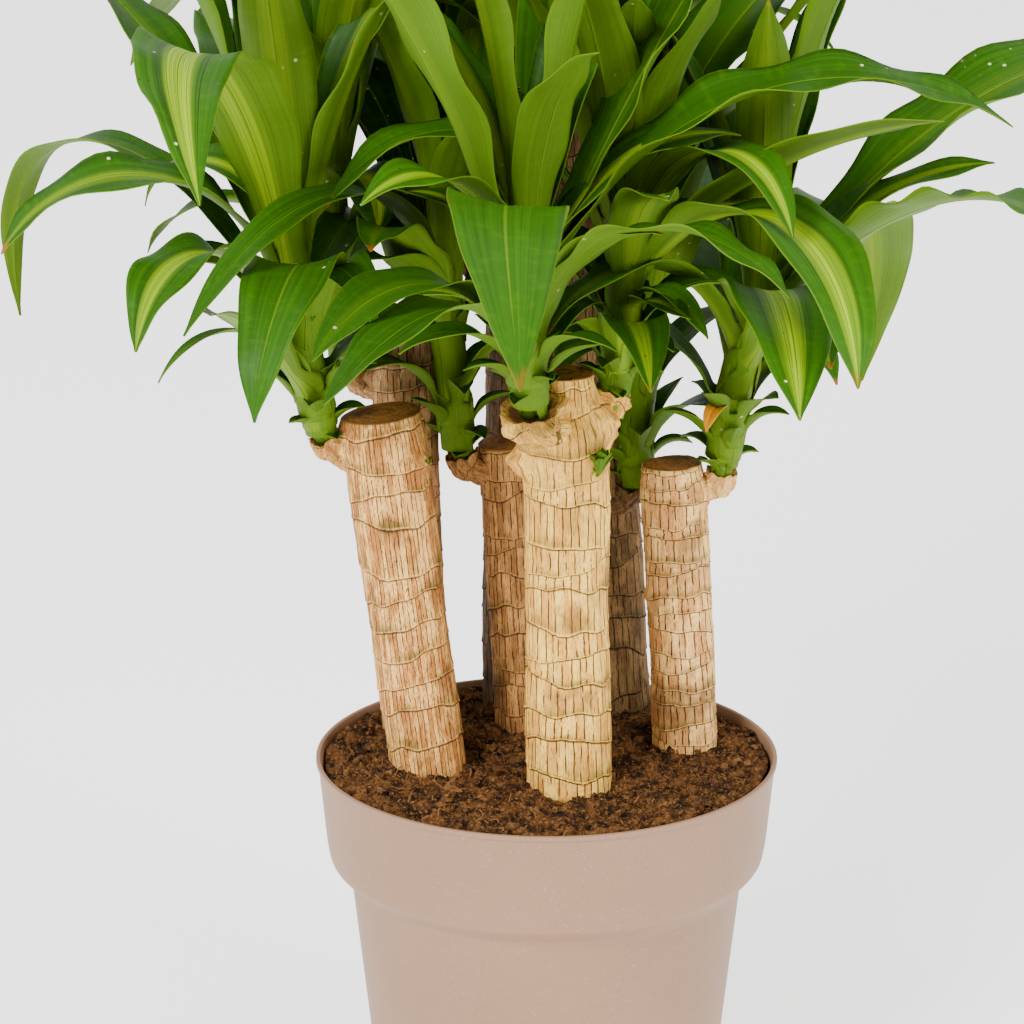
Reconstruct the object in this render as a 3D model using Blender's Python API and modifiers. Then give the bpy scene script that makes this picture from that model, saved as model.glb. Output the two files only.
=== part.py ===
# A potted corn plant: a nursery pot full of soil, seven cut canes standing in it, and the leafy
# side shoots that grow out of the canes just under their cuts. Metres, +Z up. The origin is the
# centre of the pot's underside, and the plant's front faces -Y.
from math import cos, radians, sin, tau

import bmesh
import bpy
from mathutils import Vector

# Driving dimensions.
rimRadius = 0.170
potHeight = 0.300
collarDepth = 0.070
bodyTopRadius = 0.1445
footRadius = 0.122
wall = 0.0030
floorThickness = 0.0030
recessHeight = 0.0040
padRadius = 0.045
drainHoles = 6
drainRadius = 0.006
drainCircle = 0.075
soilTop = 0.290
soilMound = 0.0015
stemBase = 0.0115
stemTip = 0.0075
leafThickness = 0.0012
foldAngle = radians(18)
clearance = 0.0003
potSides = 48
caneSides = 16

# Canes: foot on the soil, centre of the cut top, depth in the soil, and (share of the height, radius)
# up the trunk. Those at the back stand over the pot's shoulder, so they go less deep.
canes = {
    "front": ((0.016, -0.052), (0.012, -0.052, 0.607), 0.120,
              ((0.0, 0.031), (0.45, 0.030), (0.80, 0.031), (0.86, 0.033), (0.93, 0.021), (1.0, 0.020))),
    "left": ((-0.087, -0.010), (-0.120, -0.008, 0.564), 0.120,
             ((0.0, 0.028), (0.5, 0.029), (0.92, 0.031), (1.0, 0.029))),
    "right": ((0.104, 0.037), (0.092, 0.040, 0.512), 0.080, ((0.0, 0.024), (0.9, 0.024), (1.0, 0.022))),
    "middle": ((-0.015, 0.073), (-0.0285, 0.072, 0.519), 0.120, ((0.0, 0.0225), (1.0, 0.0225))),
    "back": ((-0.020, 0.127), (-0.019, 0.130, 0.665), 0.060,
             ((0.0, 0.028), (0.5, 0.027), (1.0, 0.0265))),
    "tall": ((0.0545, 0.118), (0.027, 0.118, 0.770), 0.060,
             ((0.0, 0.026), (0.5, 0.025), (1.0, 0.0245))),
    "rear_left": ((-0.099, 0.078), (-0.106, 0.078, 0.616), 0.060,
                  ((0.0, 0.024), (0.95, 0.0245), (1.0, 0.023))),
}

# Shoots: the cane that bears each one, and the line of its stem from its foot to its last leaf.
shoots = {
    "front_left": ("front", ((-0.013, -0.088, 0.591), (-0.014, -0.096, 0.615), (-0.015, -0.102, 0.640),
                             (-0.015, -0.106, 0.670), (-0.014, -0.108, 0.702))),
    "front_right": ("front", ((0.045, -0.040, 0.587), (0.049, -0.036, 0.604), (0.052, -0.032, 0.628),
                              (0.054, -0.028, 0.660), (0.056, -0.026, 0.696))),
    "left": ("left", ((-0.160, -0.012, 0.546), (-0.165, -0.016, 0.567), (-0.171, -0.022, 0.600),
                      (-0.177, -0.028, 0.638), (-0.180, -0.032, 0.672))),
    "rear_left": ("rear_left", ((-0.144, 0.078, 0.573), (-0.149, 0.074, 0.591), (-0.153, 0.070, 0.627),
                                (-0.156, 0.066, 0.665), (-0.157, 0.064, 0.699))),
    "middle": ("middle", ((-0.062, 0.059, 0.512), (-0.067, 0.056, 0.540), (-0.070, 0.054, 0.575),
                          (-0.072, 0.052, 0.615), (-0.073, 0.050, 0.650))),
    "right": ("right", ((0.128, 0.036, 0.505), (0.131, 0.032, 0.535), (0.136, 0.028, 0.569),
                        (0.144, 0.024, 0.605), (0.153, 0.020, 0.644))),
    "low": ("tall", ((0.065, 0.088, 0.479), (0.066, 0.084, 0.504), (0.067, 0.082, 0.535),
                     (0.070, 0.080, 0.569), (0.072, 0.080, 0.603))),
    "back_left": ("back", ((-0.059, 0.145, 0.640), (-0.065, 0.149, 0.670), (-0.070, 0.153, 0.720),
                           (-0.073, 0.155, 0.770))),
    "back_right": ("back", ((0.008, 0.162, 0.645), (0.012, 0.170, 0.672), (0.016, 0.176, 0.720),
                            (0.018, 0.180, 0.765))),
    "top_left": ("tall", ((-0.008, 0.102, 0.752), (-0.014, 0.098, 0.780), (-0.019, 0.094, 0.830),
                          (-0.021, 0.092, 0.880))),
    "top_right": ("tall", ((0.066, 0.130, 0.748), (0.072, 0.134, 0.775), (0.077, 0.137, 0.820),
                           (0.080, 0.139, 0.870))),
}

# Leaves of each shoot, in degrees and metres: place up the stem (0 to 1), heading (0 is +X, 90 is +Y),
# rise at the base, rise at the tip, how late it bends, sideways sway, length, width.
leaves = {
    "front_left": (
        (0.41, 249, 48, -25, 0.84, -10, 0.32, 0.055),
        (0.46, 235, 52, -33, 1.08, 4, 0.27, 0.050),
        (0.55, 263, 66, -49, 1.05, 15, 0.44, 0.080),
        (0.65, 319, 61, -38, 1.10, -4, 0.26, 0.055),
        (0.75, 4, 68, -35, 1.15, -5, 0.40, 0.070),
        (0.85, 25, 64, 35, 1.35, 0, 0.56, 0.070),
        (0.85, 208, 74, 33, 1.20, 1, 0.49, 0.070),
        (1.00, 80, 58, -22, 1.05, -5, 0.61, 0.075),
    ),
    "front_right": (
        (0.15, 278, 71, -48, 1.00, -2, 0.18, 0.045),
        (0.73, 314, 53, -70, 1.20, -32, 0.33, 0.080),
        (0.80, 334, 50, 12, 0.86, -29, 0.30, 0.080),
        (0.85, 311, 81, -54, 1.13, -21, 0.26, 0.050),
        (0.98, 58, 59, -40, 1.00, -4, 0.60, 0.075),
    ),
    "left": (
        (0.53, 275, 68, -87, 1.35, -32, 0.30, 0.065),
        (0.61, 156, 65, -118, 1.46, -45, 0.43, 0.036),
        (0.63, 224, 68, -65, 1.28, 32, 0.24, 0.055),
        (0.80, 243, 82, -45, 1.17, 45, 0.53, 0.080),
        (0.89, 101, 64, -24, 0.68, -8, 0.50, 0.095),
        (0.95, 132, 56, 11, 1.25, 4, 0.38, 0.055),
        (1.00, 168, 95, -83, 1.42, -3, 0.17, 0.045),
    ),
    "rear_left": (
        (1.00, 308, 86, -118, 1.15, -17, 0.10, 0.050),
    ),
    "middle": (
        (0.55, 245, 72, -14, 1.25, 23, 0.26, 0.050),
        (0.85, 112, 54, -10, 1.20, -5, 0.50, 0.075),
        (0.88, 241, 80, -48, 0.79, -12, 0.37, 0.036),
        (0.95, 124, 69, -55, 1.10, 0, 0.56, 0.070),
    ),
    "right": (
        (0.60, 291, 51, -27, 1.20, -12, 0.20, 0.050),
        (0.65, 98, 26, -3, 1.15, -38, 0.47, 0.070),
        (0.78, 274, 47, -40, 1.05, -1, 0.32, 0.075),
        (0.83, 311, 49, -7, 1.10, -26, 0.41, 0.060),
        (0.90, 65, 29, -76, 1.05, 30, 0.50, 0.080),
        (0.95, 22, 52, -44, 1.30, 4, 0.56, 0.080),
    ),
    "low": (),
    "back_left": (
        (1.00, 122, 87, -26, 1.10, 0, 0.47, 0.070),
    ),
    "back_right": (
        (0.60, 50, 57, -25, 1.10, 0, 0.33, 0.070),
        (0.90, 100, 61, -6, 1.10, 0, 0.48, 0.070),
    ),
    "top_left": (
        (0.55, 215, 62, -20, 1.10, 0, 0.44, 0.070),
        (0.75, 120, 65, -10, 1.10, 0, 0.50, 0.075),
        (1.00, 235, 67, 21, 1.10, 1, 0.53, 0.070),
    ),
    "top_right": (
        (0.50, 350, 60, -25, 1.10, 0, 0.44, 0.070),
        (0.70, 65, 68, -30, 1.10, 0, 0.50, 0.075),
        (1.00, 10, 80, 30, 1.10, 0, 0.46, 0.070),
    ),
}


def clearScene():
    for obj in list(bpy.data.objects):
        bpy.data.objects.remove(obj, do_unlink=True)


def newCollection(name):
    collection = bpy.data.collections.new(name)
    bpy.context.scene.collection.children.link(collection)
    return collection


def makeMaterial(name, colour, roughness):
    material = bpy.data.materials.new(name)
    material.use_nodes = True
    shader = material.node_tree.nodes["Principled BSDF"]
    shader.inputs["Base Color"].default_value = (*colour, 1.0)
    shader.inputs["Roughness"].default_value = roughness
    shader.inputs["Metallic"].default_value = 0.0
    return material


def addObject(name, data, collection, material=None):
    obj = bpy.data.objects.new(name, data)
    collection.objects.link(obj)
    if material:
        data.materials.append(material)
    return obj


def hideAsCutter(obj):
    obj.hide_render = True
    obj.display_type = "WIRE"


def turned(name, profile, sides, collection, material=None):
    # The profile runs down the outer side, from top to bottom, and both its ends lie on the axis.
    mesh = bpy.data.meshes.new(name)
    bm = bmesh.new()
    points = [bm.verts.new((radius, 0.0, height)) for radius, height in profile]
    for first, second in zip(points, points[1:]):
        bm.edges.new((first, second))
    bm.to_mesh(mesh)
    bm.free()
    obj = addObject(name, mesh, collection, material)
    screw = obj.modifiers.new("turn", "SCREW")
    screw.angle = tau
    screw.steps = sides
    screw.render_steps = sides
    screw.use_merge_vertices = True
    screw.merge_threshold = 0.00001
    screw.use_smooth_shade = False
    return obj


def coneBetween(name, start, end, startRadius, endRadius, collection, sides=12):
    axis = end - start
    mesh = bpy.data.meshes.new(name)
    bm = bmesh.new()
    bmesh.ops.create_cone(bm, cap_ends=True, segments=sides, radius1=startRadius, radius2=endRadius,
                          depth=axis.length)
    bm.to_mesh(mesh)
    bm.free()
    obj = addObject(name, mesh, collection)
    obj.location = (start + end) / 2
    obj.rotation_euler = axis.to_track_quat("Z", "Y").to_euler()
    return obj


def combine(obj, other, operation):
    hideAsCutter(other)
    boolean = obj.modifiers.new(other.name, "BOOLEAN")
    boolean.operation = operation
    boolean.solver = "EXACT"
    boolean.object = other


def arc(centre, radius, start, end, steps):
    angles = [radians(start + (end - start) * i / steps) for i in range(steps + 1)]
    return [(centre[0] + radius * cos(a), centre[1] + radius * sin(a)) for a in angles]


def potInside(offset):
    # The inner wall from the floor to the rim, drawn in by an offset.
    shoulderHeight = potHeight - collarDepth - 0.020
    return [
        (footRadius - wall - offset, recessHeight + floorThickness + offset),
        (bodyTopRadius - wall - offset, shoulderHeight - 0.004),
        (bodyTopRadius + 0.006 - offset, shoulderHeight + 0.006),
        (rimRadius - 0.013 - offset, shoulderHeight + 0.016),
        (rimRadius - 0.010 - offset, potHeight - collarDepth + 0.008),
        (rimRadius - 0.0055 - offset, potHeight - 0.004),
    ]


def makePot(collection, cutters):
    shoulderHeight = potHeight - collarDepth - 0.020
    rim = arc((rimRadius - 0.002, potHeight - 0.002), 0.002, 100, -90, 4)
    outside = [
        (rimRadius - 0.0025, potHeight - 0.006),
        (rimRadius - 0.007, potHeight - collarDepth + 0.006),
        (rimRadius - 0.010, shoulderHeight + 0.014),
        (rimRadius - 0.017, shoulderHeight + 0.005),
        (bodyTopRadius + 0.002, shoulderHeight),
        (bodyTopRadius, shoulderHeight - 0.006),
        (footRadius, 0.004),
        (footRadius - 0.002, 0.0),
        (footRadius - 0.014, 0.0),
        (footRadius - 0.016, recessHeight),
        (padRadius + 0.003, recessHeight),
        (padRadius, 0.0),
        (0.0, 0.0),
    ]
    floor = [(0.0, recessHeight + floorThickness)]
    profile = floor + potInside(0.0) + rim + outside
    pot = turned("pot", profile, potSides, collection, makeMaterial("taupe_plastic", (0.53, 0.38, 0.30), 0.55))
    for i in range(drainHoles):
        angle = tau * (i + 0.5) / drainHoles
        centre = Vector((drainCircle * cos(angle), drainCircle * sin(angle), recessHeight))
        reach = Vector((0.0, 0.0, 2 * floorThickness))
        hole = coneBetween(f"drain_{i}", centre - reach, centre + reach, drainRadius, drainRadius, cutters)
        combine(pot, hole, "DIFFERENCE")
    return pot


def caneAxis(name):
    foot, top = canes[name][:2]
    return Vector((*foot, soilTop)), Vector(top)


def turnedCane(name, objectName, extra, collection, material=None):
    # The trunk's own Z runs from its foot at soil level to the cut, and it reaches down into the soil.
    foot, top = caneAxis(name)
    length = (top - foot).length
    depth, shape = canes[name][2:]
    rings = [(radius + extra, share * length) for share, radius in reversed(shape)]
    bottom = (rings[-1][0], -depth - extra)
    profile = [(0.0, length)] + rings + [bottom, (0.0, bottom[1])]
    obj = turned(objectName, profile, caneSides, collection, material)
    obj.location = foot
    obj.rotation_euler = (top - foot).to_track_quat("Z", "Y").to_euler()
    return obj


def makeSoil(collection, cutters):
    inside = potInside(clearance)
    wallTop = [point for point in inside if point[1] < soilTop]
    edgeRadius = rimRadius - 0.0062 - clearance
    profile = [(0.0, soilTop + soilMound), (0.110, soilTop + soilMound), (0.145, soilTop - 0.001),
               (edgeRadius, soilTop - 0.003)]
    profile += list(reversed(wallTop)) + [(0.0, inside[0][1])]
    soil = turned("soil", profile, potSides, collection, makeMaterial("soil", (0.12, 0.055, 0.022), 0.95))
    for name in canes:
        socket = turnedCane(name, f"socket_{name}", clearance, cutters)
        combine(soil, socket, "DIFFERENCE")
    return soil


def makeCane(name, collection, cutters, material):
    return turnedCane(name, f"cane_{name}", 0.0, collection, material)


def addCollar(cane, caneName, shootName, cutters):
    # A woody arm leaves the trunk below the shoot and turns up into a collar under it.
    line = [Vector(point) for point in shoots[shootName][1]]
    up = (line[1] - line[0]).normalized()
    seat = line[0] - up * clearance
    foot, top = caneAxis(caneName)
    share = (seat.z - 0.026 - foot.z) / (top.z - foot.z)
    root = foot.lerp(top, share)
    arm = coneBetween(f"arm_{shootName}", root, seat - up * 0.016, 0.014, 0.0085, cutters)
    collar = coneBetween(f"collar_{shootName}", seat - up * 0.018, seat, 0.0105, 0.0125, cutters)
    combine(cane, arm, "UNION")
    combine(cane, collar, "UNION")


def makeStem(name, collection, material):
    points = shoots[name][1]
    curve = bpy.data.curves.new(name, "CURVE")
    curve.dimensions = "3D"
    curve.bevel_depth = stemBase
    curve.bevel_resolution = 4
    curve.use_fill_caps = True
    spline = curve.splines.new("POLY")
    spline.points.add(len(points) - 1)
    for i, point in enumerate(points):
        spline.points[i].co = (*point, 1.0)
        spline.points[i].radius = stemRadius(i / (len(points) - 1)) / stemBase
    return addObject(f"stem_{name}", curve, collection, material)


def stemRadius(share):
    return stemBase + (stemTip - stemBase) * share


def alongStem(name, share):
    points = [Vector(point) for point in shoots[name][1]]
    lengths = [(second - first).length for first, second in zip(points, points[1:])]
    left = share * sum(lengths)
    for first, second, length in zip(points, points[1:], lengths):
        if left <= length:
            return first.lerp(second, left / length)
        left -= length
    return points[-1]


def smooth(x):
    x = min(max(x, 0.0), 1.0)
    return x * x * (3 - 2 * x)


def leafDirection(heading, rise):
    return Vector((cos(rise) * cos(heading), cos(rise) * sin(heading), sin(rise)))


def leafWidth(s, width):
    # Narrow at the sheath, widest before the middle, and drawn out to a point.
    spread = 0.30 + 0.70 * smooth(s / 0.4)
    taper = 1 - max(0.0, (s - 0.45) / 0.55) ** 2.2
    return max(width * spread * taper, 0.0015)


def makeLeaf(name, shootName, values, collection, material, across=2, along=10, fine=6):
    place, heading, baseRise, tipRise, late, sway, length, width = values
    heading, baseRise, tipRise, sway = [radians(v) for v in (heading, baseRise, tipRise, sway)]

    def directionAt(s):
        return leafDirection(heading + sway * s ** 1.5, baseRise + (tipRise - baseRise) * s ** late)

    outward = Vector((cos(heading), sin(heading), 0.0))
    reach = stemRadius(place) + clearance + leafThickness / 2
    midrib = [alongStem(shootName, place) + outward * reach]
    steps = along * fine
    for i in range(steps):
        midrib.append(midrib[-1] + directionAt((i + 0.5) / steps) * (length / steps))

    mesh = bpy.data.meshes.new(name)
    bm = bmesh.new()
    bmesh.ops.create_grid(bm, x_segments=across, y_segments=along, size=1.0)
    for vert in bm.verts:
        side = vert.co.x
        s = (vert.co.y + 1) / 2
        forward = directionAt(s)
        turn = heading + sway * s ** 1.5
        right = Vector((-sin(turn), cos(turn), 0.0))
        upward = forward.cross(right)
        half = leafWidth(s, width) / 2
        fold = foldAngle * smooth(s / 0.2)
        centre = midrib[round(s * steps)]
        vert.co = centre + right * (side * half * cos(fold)) + upward * (abs(side) * half * sin(fold))
    bm.to_mesh(mesh)
    bm.free()
    leaf = addObject(name, mesh, collection, material)
    shell = leaf.modifiers.new("thickness", "SOLIDIFY")
    shell.thickness = leafThickness
    shell.offset = 0.0
    return leaf


def main():
    clearScene()
    plant = newCollection("corn_plant")
    cutters = newCollection("cutters")
    bark = makeMaterial("bark", (0.66, 0.46, 0.25), 0.85)
    leafGreen = makeMaterial("leaf", (0.16, 0.34, 0.03), 0.40)
    stemGreen = makeMaterial("stem", (0.24, 0.40, 0.06), 0.45)
    makePot(plant, cutters)
    makeSoil(plant, cutters)
    trunks = {name: makeCane(name, plant, cutters, bark) for name in canes}
    for name, (caneName, line) in shoots.items():
        addCollar(trunks[caneName], caneName, name, cutters)
        makeStem(name, plant, stemGreen)
        for i, values in enumerate(leaves[name]):
            makeLeaf(f"leaf_{name}_{i + 1}", name, values, plant, leafGreen)


main()
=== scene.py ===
import random
from math import atan2, cos, exp, pi, radians, sin, tau

import bmesh
import bpy
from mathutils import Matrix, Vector, noise


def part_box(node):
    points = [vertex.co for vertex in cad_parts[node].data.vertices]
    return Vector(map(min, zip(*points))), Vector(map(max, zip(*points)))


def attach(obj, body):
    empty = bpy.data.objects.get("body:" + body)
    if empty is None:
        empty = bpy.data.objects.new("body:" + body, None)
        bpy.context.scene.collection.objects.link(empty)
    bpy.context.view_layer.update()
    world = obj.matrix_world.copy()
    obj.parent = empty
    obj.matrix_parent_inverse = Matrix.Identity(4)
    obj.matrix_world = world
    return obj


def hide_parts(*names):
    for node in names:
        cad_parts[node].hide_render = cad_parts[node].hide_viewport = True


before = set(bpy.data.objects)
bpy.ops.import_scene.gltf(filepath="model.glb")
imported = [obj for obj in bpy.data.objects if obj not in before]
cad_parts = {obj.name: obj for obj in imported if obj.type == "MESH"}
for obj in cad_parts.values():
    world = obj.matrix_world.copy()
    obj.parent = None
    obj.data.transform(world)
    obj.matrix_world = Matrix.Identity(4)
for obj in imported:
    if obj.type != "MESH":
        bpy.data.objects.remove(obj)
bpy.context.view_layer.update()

print("frame loaded:", len(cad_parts), "nodes")


# Camera, floor and light

studio = {
    "cameraPlace": (-0.0255, -3.2826, 1.5275),
    "cameraTilt": 72.4,          # degrees from straight down
    "lens": 166.8,               # mm
    "sensor": 36.0,              # mm
    "farthest": 60.0,
    "floorSize": 60.0,
    "skyStrength": 1.15,
    "keyPlace": (-2.6, -4.0, 4.2),
    "keySize": 1.8,
    "keyPower": 480,
    "fillPlace": (3.6, -3.4, 2.8),
    "fillSize": 1.8,
    "fillPower": 200,
    "aim": (0.0, 0.0, 0.62),
}


def makeStudio():
    camera = bpy.data.objects.new("camera", bpy.data.cameras.new("camera"))
    camera.location = studio["cameraPlace"]
    camera.rotation_euler = (radians(studio["cameraTilt"]), 0.0, 0.0)
    camera.data.lens = studio["lens"]
    camera.data.sensor_width = studio["sensor"]
    camera.data.clip_end = studio["farthest"]
    bpy.context.scene.collection.objects.link(camera)
    bpy.context.scene.camera = camera

    world = bpy.data.worlds.new("sky")
    world.use_nodes = True
    sky = world.node_tree.nodes["Background"]
    sky.inputs["Color"].default_value = (1.0, 1.0, 1.0, 1.0)
    sky.inputs["Strength"].default_value = studio["skyStrength"]
    bpy.context.scene.world = world

    for name in ("key", "fill"):
        lamp = bpy.data.lights.new(name, "AREA")
        lamp.shape = "SQUARE"
        lamp.size = studio[name + "Size"]
        lamp.energy = studio[name + "Power"]
        holder = bpy.data.objects.new(name, lamp)
        holder.location = studio[name + "Place"]
        toAim = Vector(studio["aim"]) - Vector(studio[name + "Place"])
        holder.rotation_euler = toAim.to_track_quat("-Z", "Y").to_euler()
        bpy.context.scene.collection.objects.link(holder)

    bm = bmesh.new()
    bmesh.ops.create_grid(bm, x_segments=1, y_segments=1, size=studio["floorSize"] / 2)
    floor = addPiece("floor", bm, [plainFloor()])


# Materials: sums on sockets, and one method for every other node

class Wire:
    # A node's output, with the sums that the finishes use.
    def __init__(self, finish, socket):
        self.finish = finish
        self.socket = socket

    def __add__(self, other):
        return self.finish.sum("ADD", self, other)

    __radd__ = __add__

    def __sub__(self, other):
        return self.finish.sum("SUBTRACT", self, other)

    def __rsub__(self, other):
        return self.finish.sum("SUBTRACT", other, self)

    def __mul__(self, other):
        return self.finish.sum("MULTIPLY", self, other)

    __rmul__ = __mul__

    def floor(self):
        return self.finish.sum("FLOOR", self)

    def part(self):
        return self.finish.sum("FRACT", self)

    def size(self):
        return self.finish.sum("ABSOLUTE", self)

    def least(self, other):
        return self.finish.sum("MINIMUM", self, other)

    def most(self, other):
        return self.finish.sum("MAXIMUM", self, other)

    def rise(self, low, high):
        # 0 below low, 1 above high and smooth between them; low over high turns it round.
        if low > high:
            return 1 - self.rise(high, low)
        inputs = {0: self, 1: low, 2: high, 3: 0.0, 4: 1.0}
        return self.finish.node("MapRange", inputs, interpolation_type="SMOOTHSTEP")


class Finish:
    # One material and its nodes.
    def __init__(self, name, **values):
        self.material = bpy.data.materials.new(name)
        self.material.use_nodes = True
        self.tree = self.material.node_tree
        self.shader = self.tree.nodes["Principled BSDF"]
        for socket, value in values.items():
            self.shader.inputs[socket.replace("_", " ")].default_value = value

    def node(self, kind, inputs=None, out=0, **settings):
        made = self.tree.nodes.new("ShaderNode" + kind)
        for setting, value in settings.items():
            setattr(made, setting, value)
        for socket, value in (inputs or {}).items():
            self.plug(made.inputs[socket], value)
        return Wire(self, made.outputs[out])

    def plug(self, socket, value):
        if isinstance(value, Wire):
            self.tree.links.new(value.socket, socket)
        else:
            socket.default_value = value

    def sum(self, kind, *values):
        return self.node("Math", dict(enumerate(values)), operation=kind)

    def mix(self, share, first, second):
        return self.node("Mix", {0: share, 6: first, 7: second}, out=2, data_type="RGBA")

    def vector(self, x, y, z=0.0):
        return self.node("CombineXYZ", {0: x, 1: y, 2: z})

    def noise(self, where, scale, detail=3.0, rough=0.5):
        return self.node("TexNoise", {"Vector": where, "Scale": scale, "Detail": detail, "Roughness": rough})

    def stretched(self, where, stretch, scale, detail=3.0, rough=0.5):
        scaled = self.node("VectorMath", {0: where, 1: stretch}, operation="MULTIPLY")
        return self.noise(scaled, scale, detail, rough)

    def cells(self, along, randomness, **settings):
        inputs = {"W": along, "Scale": 1.0, "Randomness": randomness}
        return self.node("TexVoronoi", inputs, voronoi_dimensions="1D", **settings)

    def flat(self, name):
        # A number painted on the mesh's points.
        return self.node("Attribute", out=2, attribute_name=name)

    def uv(self):
        where = self.node("UVMap", uv_map="UVMap")
        split = self.tree.nodes.new("ShaderNodeSeparateXYZ")
        self.tree.links.new(where.socket, split.inputs[0])
        return Wire(self, split.outputs[0]), Wire(self, split.outputs[1])

    def place(self):
        return self.node("TexCoord", out=3)

    def bump(self, height, distance, strength=1.0):
        made = self.node("Bump", {"Height": height, "Distance": distance, "Strength": strength})
        self.plug(self.shader.inputs["Normal"], made)

    def coat(self, share, tint):
        # One more layer over the colour so far.
        self.colour = self.mix(share, self.colour, tint)

    def paint(self, rough=None):
        self.plug(self.shader.inputs["Base Color"], self.colour)
        if rough is not None:
            self.plug(self.shader.inputs["Roughness"], rough)


def shade(red, green, blue):
    # A colour as a paint chart gives it, 0 to 255, made linear.
    def linear(value):
        value /= 255
        return value / 12.92 if value <= 0.04045 else ((value + 0.055) / 1.055) ** 2.4
    return (linear(red), linear(green), linear(blue), 1.0)


def plainFloor():
    # A faint glow keeps the floor nearly white under the lamps.
    glow = {"Emission_Color": (1.0, 1.0, 1.0, 1.0), "Emission_Strength": 1.1}
    finish = Finish("paleFloor", Roughness=0.9, **glow)
    finish.colour = shade(249, 249, 249)
    finish.paint()
    return finish.material


def leafFinish(name, under=False):
    # UV runs across the blade (0 to 1, the midrib at a half) and from its base (0) to its tip (1).
    finish = Finish(name, Roughness=0.42, Specular_IOR_Level=0.14)
    u, v = finish.uv()
    stripe = finish.flat("stripe")
    tone = finish.flat("tone")
    seed = finish.flat("seed")
    dry = finish.flat("dry")
    side = (u - 0.5).size() * 2
    veins = finish.noise(finish.vector(u * 85, v * 1.4, seed * 40), 1.0, 2.0)
    streaks = finish.noise(finish.vector(u * 17, v * 0.9, seed * 70), 1.0, 3.0)
    ripplesAndSheen = finish.noise(finish.vector(u * 4, v * 70, seed * 20), 1.0, 2.0)
    blotches = finish.noise(finish.vector(u * 3, v * 7, seed * 30), 1.0, 2.0)

    deep = shade(24, 58, 0)
    fresh = shade(54, 104, 0)
    # The tone moves each leaf between deep and fresh green: partly its own colour, partly painted light and
    # shade (paler where lit from behind, darker in shade).
    green = finish.mix((streaks * 1.3 - 0.15 + tone).least(1.0).most(0.0), deep, fresh)
    green = finish.mix(blotches.rise(0.45, 0.75) * 0.35, green, shade(46, 96, 0))
    green = finish.mix(veins.rise(0.52, 0.68) * 0.30, green, shade(28, 56, 2))
    # Lighter green on the ripples' crests: a painted sheen highlight, over ripples that are also in the
    # bump.
    green = finish.mix(ripplesAndSheen.rise(0.5, 0.72) * 0.14, green, shade(86, 134, 0))

    # The yellow band down the middle, broken into lines.
    wander = (streaks - 0.5) * 0.5
    band = (side + wander).rise(0.50, 0.16) * stripe
    lines = veins.rise(0.36, 0.56)
    yellow = finish.mix(lines, shade(92, 132, 0), shade(146, 174, 0))
    finish.colour = finish.mix(band * (0.55 + 0.45 * lines), green, yellow)
    darkLines = (side + wander * 0.6 - 0.5).size().rise(0.12, 0.02) * stripe
    finish.coat(darkLines * veins.rise(0.4, 0.6) * 0.8, shade(18, 38, 1))

    # Midrib, pale edge, and the paler sheath.
    rib = side.rise(0.07, 0.02) * v.rise(1.0, 0.8)
    finish.coat(rib * 0.35, shade(120, 156, 12))
    rim = side.rise(0.972, 0.995)
    finish.coat(rim * 0.3, shade(116, 142, 4))
    finish.coat(v.rise(0.30, 0.10) * 0.30, shade(90, 122, 2))

    # Dry tips and a few scorched or dusty specks.
    edgeNoise = finish.noise(finish.vector(u * 6, v * 18, seed * 90), 1.0, 3.0)
    tip = (v + edgeNoise * 0.06).rise(0.995, 1.02) * dry
    finish.coat(tip, shade(150, 84, 20))
    scorch = side.rise(0.86, 1.0) * edgeNoise.rise(0.64, 0.72) * dry
    finish.coat(scorch, shade(110, 52, 16))
    withered = (dry - 1.0).least(1.0).most(0.0) * v.rise(0.14, 0.24)
    finish.coat(withered * (0.75 + 0.25 * lines), shade(226, 140, 14))
    dots = finish.node("TexVoronoi", {"Vector": finish.place(), "Scale": 85.0, "Randomness": 1.0})
    chance = finish.noise(finish.place(), 23.0, 1.0)
    speck = dots.rise(0.14, 0.08) * chance.rise(0.60, 0.66)
    finish.coat(speck * 0.85, shade(226, 216, 168))
    finish.coat(dots.rise(0.10, 0.05) * chance.rise(0.42, 0.37) * 0.9, shade(52, 36, 8))

    if under:
        dull = finish.mix(veins.rise(0.3, 0.7) * 0.5, shade(100, 126, 8), shade(66, 96, 2))
        finish.coat(0.5, dull)
    finish.paint(0.34 + 0.22 * streaks + (0.16 if under else 0.0))
    grooves = veins * 0.5 + ripplesAndSheen * 0.25 - rib * (1.2 if not under else -1.6) + streaks * 0.8
    finish.bump(grooves, 0.0006, 0.9)
    return finish.material


def stemFinish():
    finish = Finish("greenStem", Roughness=0.45)
    where = finish.place()
    lines = finish.stretched(where, (240.0, 240.0, 12.0), 1.0)
    patches = finish.noise(where, 30.0, 2.0)
    finish.colour = finish.mix(lines.rise(0.35, 0.65), shade(52, 86, 10), shade(104, 132, 18))
    finish.coat(patches.rise(0.5, 0.75) * 0.5, shade(30, 60, 8))
    finish.paint(0.38 + 0.2 * lines)
    finish.bump(lines, 0.0005)
    return finish.material


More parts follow.
